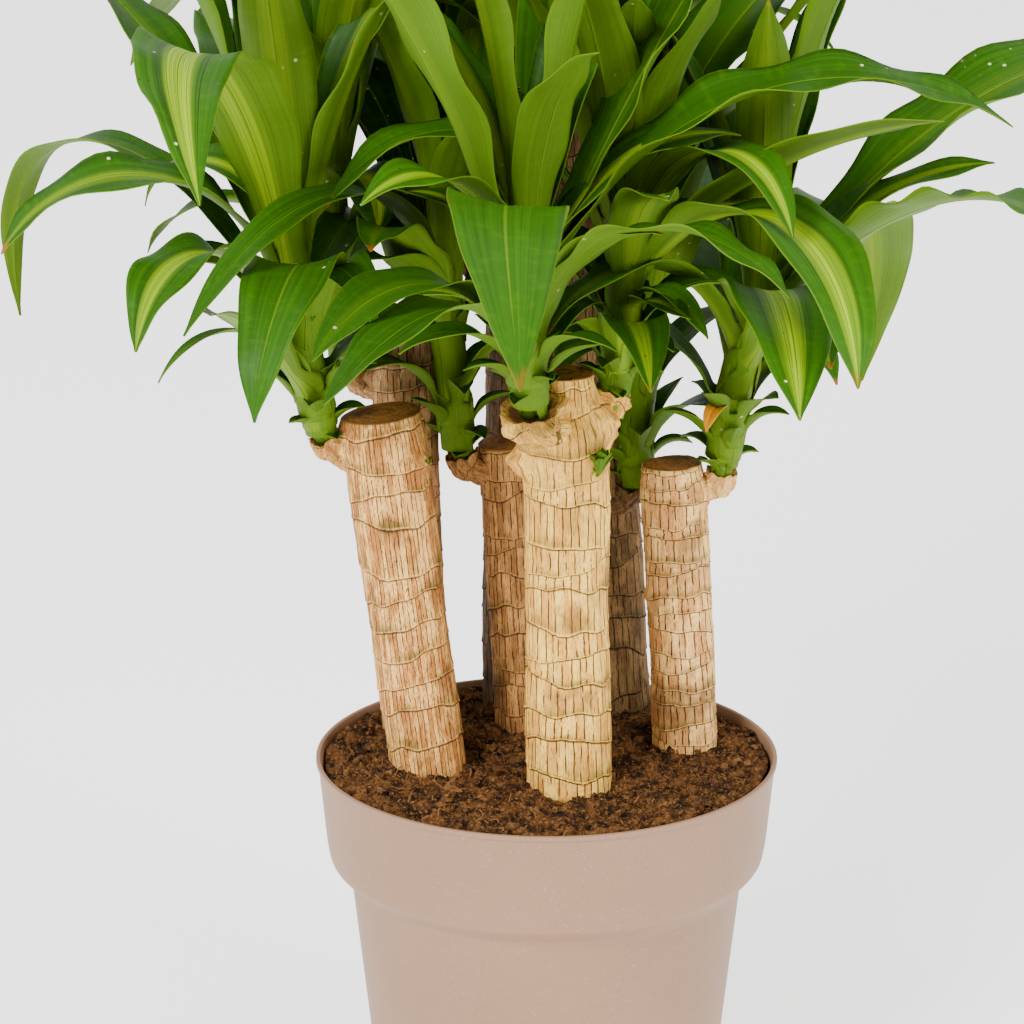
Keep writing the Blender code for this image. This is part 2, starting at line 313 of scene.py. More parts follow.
def barkFinish(name, pale, middle, deep, moss, cracks=30, fine=0.5, rings=1.0):
    # UV runs round the trunk (0 to 1) and up it, one whole number for each leaf scar.
    finish = Finish(name, Roughness=0.85, Specular_IOR_Level=0.2)
    u, v = finish.uv()
    cut = finish.flat("cut")
    knob = finish.flat("knob")
    where = finish.place()
    band = v.floor()
    above = v.part()
    bark = cut.rise(0.03, 0.0)
    grain = finish.stretched(where, (1.0, 1.0, 0.16), 330.0, 4.0, 0.65)
    streak = finish.stretched(where, (1.0, 1.0, 0.35), 110.0)
    patch = finish.noise(where, 26.0, 3.0)
    pores = finish.stretched(where, (1.0, 1.0, 0.45), 620.0, 2.0, 0.7)

    # Upright cracks between one scar and the next, shifted from band to band.
    sway = (finish.noise(finish.vector(u * 22, v * 2.2), 1.0, 2.0) - 0.5) * 0.35
    along = u * cracks + band * 7.37 + sway
    crack = finish.cells(along, 0.75, feature="DISTANCE_TO_EDGE")
    some = finish.noise(finish.vector(u * cracks * 0.9, v * 1.7), 1.0, 1.0)
    smooth = 1.0 - knob * 0.85
    crackMask = crack.rise(0.10, 0.03) * some.rise(0.36, 0.50) * bark * smooth
    plank = finish.cells(along, 0.75, out=1)
    thin = finish.cells(u * cracks * 3.1 + band * 2.13 + sway * 2, 1.0, feature="DISTANCE_TO_EDGE")
    dashes = finish.noise(finish.vector(u * cracks * 2.6, v * 5.5), 1.0, 1.0)
    thinMask = thin.rise(0.16, 0.04) * dashes.rise(0.48, 0.60) * bark

    finish.colour = finish.mix((streak * 0.75 + plank * 0.30).rise(0.40, 0.66), middle, pale)
    finish.coat(patch.rise(0.52, 0.70) * 0.6, deep)
    finish.coat(grain.rise(0.54, 0.70) * 0.55, middle)
    finish.coat(grain.rise(0.44, 0.34) * 0.35, pale)
    finish.coat(pores.rise(0.60, 0.72) * (0.25 + fine * 0.6), deep)
    rough = knob * (streak * 0.5 + grain * 0.5).rise(0.45, 0.60)
    finish.coat(rough * 0.75, finish.mix(0.4, middle, deep))

    # Each scar: a pale lip (its own pale colour plus a painted highlight), a dark crack under it, and a
    # mossy stain above it.
    ragged = above + (grain - 0.5) * 0.05
    lip = ragged.rise(0.075, 0.045) * bark * rings * smooth
    gap = ragged.rise(0.93, 0.975) * bark
    stain = above.rise(0.40, 0.06) * patch.rise(0.42, 0.60) * bark
    finish.coat(stain * 0.6, moss)
    finish.coat(thinMask * fine, deep)
    finish.coat(crackMask, finish.mix(0.6, deep, shade(50, 28, 12)))
    # Pale coat on the lip: partly a painted highlight along the raised ridge.
    finish.coat(lip * 0.65 * streak.rise(0.2, 0.5), pale)
    finish.coat(gap * (0.55 + 0.6 * patch), finish.mix(0.5, deep, shade(46, 26, 12)))

    # The sawn top: fibrous wood in faint rings, darker under the bark.
    fibre = finish.noise(where, 420.0, 3.0, 0.7)
    growth = finish.noise(finish.vector(cut * 7, patch * 1.5), 1.0, 2.0)
    sawn = finish.mix((fibre * 0.5 + growth * 0.6).rise(0.40, 0.68), shade(84, 48, 20), shade(176, 112, 48))
    sawn = finish.mix(cut.rise(0.40, 0.25) * 0.6, sawn, shade(150, 104, 50))
    sawn = finish.mix(patch.rise(0.5, 0.7) * 0.6, sawn, shade(66, 38, 18))
    finish.coat(cut.rise(0.02, 0.10), sawn)
    finish.paint(0.72 + 0.2 * grain)
    height = streak * 0.30 + grain * 0.42 + pores * (0.1 + 0.3 * fine)
    height = height - crackMask * 0.9 - thinMask * 0.7 * fine
    finish.bump(height - gap * 0.7 + lip * 0.35, 0.0013)
    return finish.material


def soilFinish():
    finish = Finish("darkSoil", Roughness=0.95, Specular_IOR_Level=0.15)
    where = finish.place()
    coarse = finish.noise(where, 75.0, 5.0, 0.7)
    fine = finish.noise(where, 420.0, 4.0, 0.75)
    tone = finish.flat("tone")
    finish.colour = finish.mix(coarse.rise(0.40, 0.62), shade(28, 16, 7), shade(106, 68, 34))
    finish.coat(fine.rise(0.52, 0.66) * 0.8, shade(160, 108, 58))
    finish.coat(fine.rise(0.44, 0.34) * 0.7, shade(14, 8, 4))
    finish.coat(tone, finish.mix(fine, shade(86, 54, 28), shade(180, 128, 76)))
    finish.paint()
    finish.bump(coarse * 0.6 + fine, 0.0030)
    return finish.material


def potFinish():
    finish = Finish("taupePlastic", Roughness=0.5, Specular_IOR_Level=0.4)
    where = finish.place()
    cloud = finish.noise(where, 9.0, 3.0)
    grain = finish.noise(where, 900.0, 2.0, 0.6)
    flecks = finish.node("TexVoronoi", {"Vector": where, "Scale": 420.0, "Randomness": 1.0})
    chance = finish.noise(where, 160.0, 1.0)
    finish.colour = finish.mix(cloud, shade(130, 98, 74), shade(145, 111, 84))
    finish.coat(grain.rise(0.5, 0.75) * 0.35, shade(158, 126, 98))
    fleck = flecks.rise(0.22, 0.10) * 0.6
    finish.coat(fleck * chance.rise(0.52, 0.60), shade(92, 66, 50))
    finish.coat(fleck * chance.rise(0.47, 0.40), shade(196, 168, 146))
    finish.paint(0.48 + 0.12 * grain)
    finish.bump(grain * 0.5 + cloud * 0.2, 0.0002)
    return finish.material


# Pieces

def addPiece(name, bm, materials, nodes=(), slot=None, smooth=True):
    mesh = bpy.data.meshes.new(name)
    for face in bm.faces:
        face.smooth = smooth
    bm.to_mesh(mesh)
    bm.free()
    for material in materials:
        mesh.materials.append(material)
    piece = bpy.data.objects.new(name, mesh)
    bpy.context.scene.collection.objects.link(piece)
    if slot:
        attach(piece, "root")
    if nodes:
        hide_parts(*nodes)
    return piece


def smoothStep(x, low=0.0, high=1.0):
    x = min(max((x - low) / (high - low), 0.0), 1.0)
    return x * x * (3 - 2 * x)


def blendTo(first, second, share):
    return first + (second - first) * share


def levelWay(heading):
    return Vector((cos(radians(heading)), sin(radians(heading)), 0.0))


def crossAxes(way):
    # Two directions square to a line, for a ring of points round it.
    side = way.cross(Vector((0.0, 1.0, 0.0))).normalized()
    return side, way.cross(side)


def nameSeed(name):
    return sum(ord(letter) for letter in name)


def startMesh(*numbers):
    # A bmesh with a UV map and the named numbers on its points.
    bm = bmesh.new()
    bm.loops.layers.uv.new("UVMap")
    for name in numbers:
        bm.verts.layers.float.new(name)
    return bm


def paintPoints(bm, points, **numbers):
    for name, value in numbers.items():
        layer = bm.verts.layers.float[name]
        for point in points:
            point[layer] = value


def closeSeams(bm):
    bmesh.ops.remove_doubles(bm, verts=bm.verts, dist=0.00002)
    bmesh.ops.recalc_face_normals(bm, faces=bm.faces)


def addSheet(bm, across, along):
    # A flat sheet with UVs 0 to 1, and each of its points with its place on it.
    points = bmesh.ops.create_grid(bm, x_segments=across, y_segments=along, size=1.0, calc_uvs=True)["verts"]
    return [(point, (point.co.x + 1) / 2, (point.co.y + 1) / 2) for point in points]


# The plant's layout: the same trunks, stems and main leaves as the frame's solids.

soilTop = 0.290

trunks = {
    "front": {"foot": (0.016, -0.052), "top": (0.012, -0.052, 0.607),
              "radii": ((0.0, 0.031), (0.45, 0.030), (0.80, 0.031), (0.86, 0.033), (0.93, 0.021),
                        (1.0, 0.020))},
    "left": {"foot": (-0.087, -0.010), "top": (-0.120, -0.008, 0.564),
             "radii": ((0.0, 0.028), (0.5, 0.029), (0.92, 0.031), (1.0, 0.029))},
    "right": {"foot": (0.104, 0.037), "top": (0.092, 0.040, 0.512),
              "radii": ((0.0, 0.024), (0.9, 0.024), (1.0, 0.022))},
    "middle": {"foot": (-0.015, 0.073), "top": (-0.0285, 0.072, 0.519),
               "radii": ((0.0, 0.0225), (1.0, 0.0225))},
    "back": {"foot": (-0.020, 0.127), "top": (-0.019, 0.130, 0.665),
             "radii": ((0.0, 0.028), (0.5, 0.027), (1.0, 0.0265))},
    "tall": {"foot": (0.0545, 0.118), "top": (0.027, 0.118, 0.770),
             "radii": ((0.0, 0.026), (0.5, 0.025), (1.0, 0.0245))},
    "rear_left": {"foot": (-0.099, 0.078), "top": (-0.106, 0.078, 0.616),
                  "radii": ((0.0, 0.024), (0.95, 0.0245), (1.0, 0.023))},
}

# Shoots: the trunk that bears each one, and the line of its stem from its foot to its last leaf.
shoots = {
    "front_left": ("front", ((-0.013, -0.088, 0.591), (-0.014, -0.096, 0.615), (-0.015, -0.102, 0.640),
                             (-0.015, -0.106, 0.670), (-0.014, -0.108, 0.702))),
    "front_right": ("front", ((0.045, -0.040, 0.587), (0.049, -0.036, 0.604), (0.052, -0.032, 0.628),
                              (0.054, -0.028, 0.660), (0.056, -0.026, 0.696))),
    "left": ("left", ((-0.160, -0.012, 0.546), (-0.165, -0.016, 0.567), (-0.171, -0.022, 0.600),
                      (-0.177, -0.028, 0.638), (-0.180, -0.032, 0.672))),
    "rear_left": ("rear_left", ((-0.144, 0.078, 0.573), (-0.149, 0.074, 0.591), (-0.153, 0.070, 0.627),
                                (-0.156, 0.066, 0.665), (-0.157, 0.064, 0.699))),
    "middle": ("middle", ((-0.062, 0.059, 0.512), (-0.067, 0.056, 0.540), (-0.070, 0.054, 0.575),
                          (-0.072, 0.052, 0.615), (-0.073, 0.050, 0.650))),
    "right": ("right", ((0.128, 0.036, 0.505), (0.131, 0.032, 0.535), (0.136, 0.028, 0.569),
                        (0.144, 0.024, 0.605), (0.153, 0.020, 0.644))),
    "low": ("tall", ((0.065, 0.088, 0.479), (0.066, 0.084, 0.504), (0.067, 0.082, 0.535),
                     (0.070, 0.080, 0.569), (0.072, 0.080, 0.603))),
    "back_left": ("back", ((-0.059, 0.145, 0.640), (-0.065, 0.149, 0.670), (-0.070, 0.153, 0.720),
                           (-0.073, 0.155, 0.770))),
    "back_right": ("back", ((0.008, 0.162, 0.645), (0.012, 0.170, 0.672), (0.016, 0.176, 0.720),
                            (0.018, 0.180, 0.765))),
    "top_left": ("tall", ((-0.008, 0.102, 0.752), (-0.014, 0.098, 0.780), (-0.019, 0.094, 0.830),
                          (-0.021, 0.092, 0.880))),
    "top_right": ("tall", ((0.066, 0.130, 0.748), (0.072, 0.134, 0.775), (0.077, 0.137, 0.820),
                           (0.080, 0.139, 0.870))),
}

# Leaves of each shoot, in degrees and metres: place up the stem (0 to 1), heading (0 is +X, 90 is +Y),
# rise at the base, rise at the tip, how late it bends, sideways sway, length, width.
mainLeaves = {
    "front_left": (
        (0.41, 249, 48, -25, 0.84, -10, 0.32, 0.055),
        (0.46, 235, 52, -33, 1.08, 4, 0.27, 0.050),
        (0.55, 263, 66, -49, 1.05, 15, 0.44, 0.080),
        (0.65, 319, 61, -38, 1.10, -4, 0.26, 0.055),
        (0.75, 4, 68, -35, 1.15, -5, 0.40, 0.070),
        (0.85, 25, 64, 35, 1.35, 0, 0.56, 0.070),
        (0.85, 208, 74, 33, 1.20, 1, 0.49, 0.070),
        (1.00, 80, 58, -22, 1.05, -5, 0.61, 0.075),
    ),
    "front_right": (
        (0.15, 278, 71, -48, 1.00, -2, 0.18, 0.045),
        (0.73, 314, 53, -70, 1.20, -32, 0.33, 0.080),
        (0.80, 334, 50, 12, 0.86, -29, 0.30, 0.080),
        (0.85, 311, 81, -54, 1.13, -21, 0.26, 0.050),
        (0.98, 58, 59, -40, 1.00, -4, 0.60, 0.075),
    ),
    "left": (
        (0.53, 275, 68, -87, 1.35, -32, 0.30, 0.065),
        (0.61, 156, 65, -118, 1.46, -45, 0.43, 0.036),
        (0.63, 224, 68, -65, 1.28, 32, 0.24, 0.055),
        (0.80, 243, 82, -45, 1.17, 45, 0.53, 0.080),
        (0.89, 101, 64, -24, 0.68, -8, 0.50, 0.095),
        (0.95, 132, 56, 11, 1.25, 4, 0.38, 0.055),
        (1.00, 168, 95, -83, 1.42, -3, 0.17, 0.045),
    ),
    "rear_left": (
        (1.00, 308, 86, -118, 1.15, -17, 0.10, 0.050),
    ),
    "middle": (
        (0.55, 245, 72, -14, 1.25, 23, 0.26, 0.050),
        (0.85, 112, 54, -10, 1.20, -5, 0.50, 0.075),
        (0.88, 241, 80, -48, 0.79, -12, 0.37, 0.036),
        (0.95, 124, 69, -55, 1.10, 0, 0.56, 0.070),
    ),
    "right": (
        (0.60, 291, 51, -27, 1.20, -12, 0.20, 0.050),
        (0.65, 98, 26, -3, 1.15, -38, 0.47, 0.070),
        (0.78, 274, 47, -40, 1.05, -1, 0.32, 0.075),
        (0.83, 311, 49, -7, 1.10, -26, 0.41, 0.060),
        (0.90, 65, 29, -76, 1.05, 30, 0.50, 0.080),
        (0.95, 22, 52, -44, 1.30, 4, 0.56, 0.080),
    ),
    "low": (),
    "back_left": (
        (1.00, 122, 87, -26, 1.10, 0, 0.47, 0.070),
    ),
    "back_right": (
        (0.60, 50, 57, -25, 1.10, 0, 0.33, 0.070),
        (0.90, 100, 61, -6, 1.10, 0, 0.48, 0.070),
    ),
    "top_left": (
        (0.55, 215, 62, -20, 1.10, 0, 0.44, 0.070),
        (0.75, 120, 65, -10, 1.10, 0, 0.50, 0.075),
        (1.00, 235, 67, 21, 1.10, 1, 0.53, 0.070),
    ),
    "top_right": (
        (0.50, 350, 60, -25, 1.10, 0, 0.44, 0.070),
        (0.70, 65, 68, -30, 1.10, 0, 0.50, 0.075),
        (1.00, 10, 80, 30, 1.10, 0, 0.46, 0.070),
    ),
}

leafShape = {
    "across": 14,            # faces across a blade
    "along": 56,             # faces along it
    "thickness": 0.0007,
    "sheath": 0.030,         # length that clasps the stem below the blade
    "wrap": 2.3,             # radians each way round the stem
    "channel": 0.42,         # radians each way in mid blade
    "margin": 0.0045,        # height of the wavy margins
    "marginLength": 0.085,   # length of one wave
    "sheathStep": 0.0011,    # how much each clasping sheath stands out over the last
    "sheathShare": 0.12,     # share of the sheet that is sheath
    "sheathRise": 86,        # degrees
    "crease": 0.0009,        # depth of the groove over the midrib
    "wavyWidth": 0.07,       # width from which the margins wave in full
    "steps": 120,            # steps in which the midrib is drawn
}

stemShape = {
    "foot": 0.0115,
    "tip": 0.0075,
    "footShare": 0.52,       # how slim the foot is
    "tipFrom": 0.9,          # share of the rows under the tip
    "tipLength": 0.012,
    "sides": 24,
    "rows": 30,
}


def look(stripe, tone, **more):
    # How a leaf differs from the rest: yellow band, tone, and at times its wave, channel, dry edges or
    # twist in degrees. The tone is partly the leaf's own green and partly painted light and shade.
    return {"stripe": stripe, "tone": tone, **more}


# Tones below are partly painted light and shade: higher for leaves lit from behind, lower for leaves in
# shade.
leafLooks = {
    "front_left_1": look(0.0, -0.1, wave=0.5, dry=0.0),
    "front_left_2": look(0.1, 0.0, wave=0.5, dry=0.0),
    "front_left_3": look(0.0, 0.1, wave=0.25, channel=0.25),
    "front_left_4": look(0.0, -0.05),
    "front_left_5": look(0.0, -0.1),
    "front_left_6": look(0.1, -0.1, twist=-18.0),
    "front_left_7": look(0.25, 0.1),
    "front_left_8": look(0.75, 0.15, wave=0.5),
    "front_right_1": look(0.8, -0.1),
    "front_right_2": look(1.0, 0.15, wave=0.4, twist=-12.0),
    "front_right_3": look(1.0, -0.45, wave=0.3),
    "front_right_4": look(1.0, 0.1, wave=0.5),
    "front_right_5": look(0.1, 0.0),
    "left_1": look(0.0, 0.05, wave=0.6, dry=0.0),
    "left_2": look(0.1, -0.2, wave=0.6, dry=0.0),
    "left_3": look(0.9, 0.0, wave=1.4, dry=0.0),
    "left_4": look(1.0, 0.1, wave=0.8, dry=0.0),
    "left_5": look(0.6, 0.1, wave=0.6),
    "left_7": look(0.7, 0.0, wave=1.0, dry=0.0),
    "middle_1": look(0.2, -0.2),
    "middle_2": look(0.0, -0.45, wave=0.4, dry=0.0),
    "middle_3": look(0.0, 0.0, wave=0.4, dry=0.0),
    "middle_4": look(0.0, -0.4, wave=0.4, dry=0.0),
    "rear_left_1": look(0.9, -0.35, wave=0.6, dry=0.0),
    "right_1": look(0.8, 0.0, dry=1.0),
    "right_3": look(1.0, 0.05, wave=0.4, channel=0.3),
    "right_4": look(0.2, 0.05),
    "right_5": look(0.6, 0.15, wave=0.5),
    "right_6": look(0.15, 0.15),
}

# Small leaves low on the shoots, in the same numbers as the main leaves, with their looks.
smallLeaves = {
    "front_left": (
        ((0.3, 214, 58, -35, 1.18, 1, 0.11, 0.022), look(0.0, 0.0)),
        ((0.3, 312, 80, -21, 0.74, 2, 0.09, 0.022), look(0.0, 0.0)),
    ),
    "front_right": (
        ((0.58, 298, 50, -22, 0.63, 22, 0.07, 0.03), look(0.5, -0.25)),
        ((0.66, 311, 39, -62, 0.86, 17, 0.08, 0.025), look(0.1, 0.1)),
    ),
    "left": (
        ((0.3, 241, 52, 10, 0.89, 28, 0.22, 0.042), look(0.8, -0.4, wave=0.5, dry=0.0)),
        ((0.36, 219, 72, -57, 1.09, -2, 0.15, 0.018), look(0.2, 0.0, wave=0.5, dry=0.0)),
    ),
    "right": (
        ((0.3, 249, 84, -80, 1.09, -7, 0.05, 0.014), look(0.6, 0.0, dry=2.0)),
        ((0.31, 301, 57, 6, 1.03, -1, 0.06, 0.022), look(0.2, -0.1, dry=0.0)),
        ((0.64, 316, 56, -39, 1.53, -45, 0.19, 0.035), look(0.5, 0.0)),
    ),
}


def footTaper(share):
    # A shoot is slimmer where it leaves the bark.
    return blendTo(stemShape["footShare"], 1.0, smoothStep(share, 0.0, 0.24))


def stemRadius(share):
    return blendTo(stemShape["foot"], stemShape["tip"], share) * footTaper(share)


def alongStem(name, share):
    # A point of the stem's line and the line's direction there; past its ends the line runs straight on.
    points = [Vector(point) for point in stemLines[name]]
    lengths = [(second - first).length for first, second in zip(points, points[1:])]
    left = share * sum(lengths)
    for first, second, length in zip(points, points[1:], lengths):
        if left <= length or second is points[-1]:
            return first.lerp(second, left / length), (second - first).normalized()
        left -= length
    return points[-1], Vector((0.0, 0.0, 1.0))


def leafHeading(values, s):
    heading, baseRise, tipRise, late, sway = values[1:6]
    rise = radians(baseRise + (tipRise - baseRise) * s ** late)
    turn = radians(heading + sway * s ** 1.5)
    return turn, rise


def leafForward(turn, rise):
    return Vector((cos(rise) * cos(turn), cos(rise) * sin(turn), sin(rise)))


def leafSpread(s):
    # Narrow over the sheath, widest before the middle, and drawn out to a point.
    return (0.30 + 0.70 * smoothStep(s, 0.0, 0.4)) * (1 - max(0.0, (s - 0.45) / 0.55) ** 2.5)


def addLeaf(bm, shootName, values, rng, stripe=None, tone=None, twist=None, wave=1.0, dry=None, layer=0,
            channel=None, **over):
    shape = {**leafShape, **over}
    place, heading = values[:2]
    length, width = values[6:]
    stripe = rng.choice((0.0, 0.15, 0.45, 0.8)) if stripe is None else stripe
    tone = rng.uniform(-0.35, 0.2) if tone is None else tone
    twist = rng.uniform(-14, 14) if twist is None else twist
    dry = rng.choice((0.0, 0.0, 0.4, 1.0)) if dry is None else dry
    channel = shape["channel"] * rng.uniform(0.8, 1.3) if channel is None else channel
    wrap = shape["wrap"]
    phases = (rng.uniform(0, tau), rng.uniform(0, tau))
    rates = (rng.uniform(0.85, 1.2), rng.uniform(0.85, 1.2))
    waves = length / shape["marginLength"]
    margin = shape["margin"] * wave * min(width / shape["wavyWidth"], 1.0)

    foot, stemWay = alongStem(shootName, place)
    outward = levelWay(heading)
    hug = stemRadius(place) + (0.0006 + layer * shape["sheathStep"]) * footTaper(place)
    steps = shape["steps"]
    midrib = [foot + outward * hug]
    for i in range(steps):
        turn, rise = leafHeading(values, (i + 0.5) / steps)
        midrib.append(midrib[-1] + leafForward(turn, rise) * (length / steps))

    sheathShare = shape["sheathShare"]
    points = addSheet(bm, shape["across"], shape["along"])
    seed = rng.random()
    for point, u, v in points:
        x = (abs(2 * u - 1) ** 1.15) * (1 if u > 0.5 else -1)
        if v < sheathShare:
            q = v / sheathShare
            turn = radians(heading)
            centre = midrib[0] - stemWay * (1 - q) * shape["sheath"]
            forward = stemWay
            half = wrap * hug * blendTo(0.75, 1.0, smoothStep(q, 0.0, 0.7))
            bend = 1 / hug
            s = 0.0
            fade = 0.0
        else:
            s = (v - sheathShare) / (1 - sheathShare)
            turn, rise = leafHeading(values, s)
            rise = blendTo(radians(shape["sheathRise"]), rise, smoothStep(s, 0.0, 0.10))
            forward = leafForward(turn, rise)
            low = int(s * steps)
            centre = midrib[low].lerp(midrib[min(low + 1, steps)], s * steps - low)
            blade = max(leafSpread(s) * width, 0.0016) / 2
            opened = smoothStep(s, 0.0, 0.15)
            half = blendTo(wrap * hug, blade, opened)
            bend = blendTo(wrap, channel * (1.25 - 0.6 * smoothStep(s, 0.2, 0.8)), opened) / half
            fade = smoothStep(s, 0.08, 0.3) * smoothStep(1 - s, 0.0, 0.15)
        right = Vector((-sin(turn), cos(turn), 0.0))
        upward = forward.cross(right).normalized()
        right = upward.cross(forward).normalized()
        roll = radians(twist) * smoothStep(s, 0.1, 0.8)
        sideways = right * cos(roll) + upward * sin(roll)
        inward = upward * cos(roll) - right * sin(roll)
        arc = x * half * bend
        ripple = sin(tau * waves * rates[x > 0] * s + phases[x > 0]) * abs(x) ** 2.2 * margin * fade
        crease = -shape["crease"] * exp(-(x / 0.16) ** 2) * fade
        point.co = centre + sideways * (sin(arc) / bend) + inward * ((1 - cos(arc)) / bend + ripple + crease)
    paintPoints(bm, [point for point, u, v in points], stripe=stripe, tone=tone, seed=seed, dry=dry)


def startLeaves():
    return startMesh("stripe", "tone", "seed", "dry")


def addBlades(name, bm, finishes, nodes=()):
    # Leaf sheets as a piece with two faces: the second finish on top, the first below.
    shell = addPiece(name, bm, finishes, nodes, "leaf").modifiers.new("thickness", "SOLIDIFY")
    shell.thickness = leafShape["thickness"]
    shell.offset = 0.0
    shell.use_even_offset = False
    shell.material_offset = 1
    shell.material_offset_rim = 0


def makeLeaves(finishes):
    for shootName, rows in mainLeaves.items():
        for i, values in enumerate(rows):
            name = f"{shootName}_{i + 1}"
            bm = startLeaves()
            rng = random.Random("leaf_" + name)
            addLeaf(bm, shootName, values, rng, layer=(i + 1) * 2 % 5, **leafLooks.get(name, {}))
            addBlades("blade_" + name, bm, finishes, ["leaf_" + name])
    print("main leaves:", sum(len(rows) for rows in mainLeaves.values()))


# Young leaves, bracts and spears that have no solid of their own.

# Widths: at no length, gained for each metre of length, and the most that chance adds.
youngGrowth = {
    "bracts": {
        "count": 10, "places": (-0.02, 0.34), "lengths": (0.018, 0.062), "uneven": (0.85, 1.2),
        "baseRises": (58, 76), "tipRises": (-40, 30), "late": 1.1, "sway": 12, "widths": (0.012, 0.15, 0.0),
        "tones": (-0.45, -0.15), "layer": 0.4,
        "looks": {"stripe": 0.0, "wave": 0.8, "channel": 1.0, "across": 8, "along": 22, "sheath": 0.010,
                  "wrap": 1.5},
    },
    "sideLeaves": {
        "count": 6, "places": (0.26, 0.90), "lengths": (0.09, 0.26), "uneven": (0.85, 1.25),
        "baseRises": (68, 84), "tipRises": (-75, 5), "late": 1.2, "sway": 14, "widths": (0.022, 0.12, 0.0),
        "layer": 1.0, "looks": {"across": 10, "along": 34},
    },
    "spears": {
        "count": 5, "places": (0.96, 0.96), "lengths": (0.22, 0.42), "uneven": (0.9, 1.15),
        "baseRises": (78, 88), "tipRises": (15, 62), "late": 1.3, "sway": 12, "widths": (0.042, 0.0, 0.020),
        "layer": 0.6, "looks": {"across": 10, "along": 40, "channel": 0.8},
    },
}
youngTurn = 137.5                # degrees round the stem from one young leaf to the next
youngStep = 0.3                  # layers from one young leaf to the next

# Green buds breaking from the bark: the line of each, how many scales, and the length of the first.
buds = {
    "front": (((0.0335, -0.0730, 0.5360), (0.0405, -0.0815, 0.5540)), 8, 0.016),
    "left": (((-0.0905, -0.0220, 0.5300), (-0.0845, -0.0290, 0.5330)), 4, 0.005),
}
stemLines = {name: line for name, (trunk, line) in shoots.items()}
stemLines.update({"bud_" + name: line for name, (line, scales, length) in buds.items()})


def addYoung(bm, name, kind, rng, turn):
    for i in range(kind["count"]):
        share = i / kind["count"]
        length = blendTo(*kind["lengths"], share) * rng.uniform(*kind["uneven"])
        rises = (rng.uniform(*kind["baseRises"]), rng.uniform(*kind["tipRises"]))
        sway = rng.uniform(-kind["sway"], kind["sway"])
        base, gain, chance = kind["widths"]
        width = base + length * gain + (rng.uniform(0.0, chance) if chance else 0.0)
        values = (blendTo(*kind["places"], share), turn % 360, *rises, kind["late"], sway, length, width)
        tone = blendTo(*kind["tones"], share) if "tones" in kind else None
        addLeaf(bm, name, values, rng, tone=tone, layer=kind["layer"] + youngStep * i, **kind["looks"])
        turn += youngTurn
    return turn


def makeStem(name, material):
    shape = stemShape
    bm = startLeaves()
    for point, u, v in addSheet(bm, shape["sides"], shape["rows"]):
        # The last rows close the tip as a blunt cone.
        tipFrom = shape["tipFrom"]
        share = min(v / tipFrom, 1.0)
        centre, way = alongStem(name, share * 1.02 - 0.04)
        close = 1.0 if v <= tipFrom else max(0.0, 1 - (v - tipFrom) / (1 - tipFrom))
        radius = stemRadius(share) * close
        centre = centre + way * (1 - close) * shape["tipLength"]
        side, front = crossAxes(way)
        point.co = centre + (side * cos(tau * u) + front * sin(tau * u)) * radius
    closeSeams(bm)
    addPiece("shoot_" + name, bm, [material], ["stem_" + name], "stem")


def makeStems(finishes, stemMaterial):
    for name in shoots:
        makeStem(name, stemMaterial)
        young = startLeaves()
        rng = random.Random("stem " + name)
        turn = rng.uniform(0, 360)
        for kind in youngGrowth.values():
            turn = addYoung(young, name, kind, rng, turn)
        for i, (values, looks) in enumerate(smallLeaves.get(name, ())):
            addLeaf(young, name, values, rng, layer=2.0 + 0.5 * i, across=10, along=40, **looks)
        addBlades("young_" + name, young, finishes)
    for name, (line, scales, length) in buds.items():
        bud = startLeaves()
        rng = random.Random("bud " + name)
        for i in range(scales):
            values = (0.1 + 0.8 * i / scales, i * youngTurn, 72.0, 42.0, 1.0, 0.0,
                      length * (1 - 0.06 * i), length * 0.5)
            addLeaf(bud, "bud_" + name, values, rng, **look(0.0, 0.0, wave=0.3, dry=0.0), layer=-6.6,
                    across=6, along=14, sheath=length * 0.12, wrap=1.6)
        addBlades("bud_" + name, bud, finishes)
    print("stems and young growth:", len(shoots))


# Trunks

trunkShape = {
    "sides": 128,
    "rowHeight": 0.0015,
    "below": 0.020,          # how far the visible bark goes on under the soil
    "scarWave": 0.0045,
    "lip": 0.00065,
    "capRows": 10,
    "capSag": 0.0010,        # how much lower the sawn top's rim is
    "commonScar": 0.022,     # the scar height that the waves and lips are given for
}


def barkKind(scars, cracks, fine, rings, *tones):
    # Height from one leaf scar to the next, cracks round the trunk, fineness, lips (partly a painted
    # highlight), and four tones.
    return {"scars": scars, "cracks": cracks, "fine": fine, "rings": rings, "tones": tones}


barks = {
    "front": barkKind(0.022, 32, 0.5, 1.0, (255, 204, 94), (220, 158, 68), (92, 56, 24), (104, 86, 22)),
    "left": barkKind(0.024, 52, 1.0, 0.7, (246, 188, 104), (180, 116, 54), (70, 40, 18), (84, 86, 20)),
    "right": barkKind(0.014, 24, 0.45, 0.8, (255, 206, 122), (208, 146, 82), (84, 50, 26), (108, 84, 30)),
    "middle": barkKind(0.021, 30, 0.8, 0.7, (196, 140, 76), (142, 96, 50), (66, 41, 20), (90, 74, 22)),
    "back": barkKind(0.024, 28, 0.8, 0.5, (116, 86, 52), (82, 58, 33), (42, 28, 15), (60, 56, 18)),
    "tall": barkKind(0.026, 28, 0.8, 0.5, (136, 104, 62), (96, 70, 40), (44, 30, 15), (64, 62, 18)),
    "rear_left": barkKind(0.018, 26, 0.6, 0.6, (206, 160, 106), (156, 114, 70), (70, 46, 25), (98, 84, 34)),
}

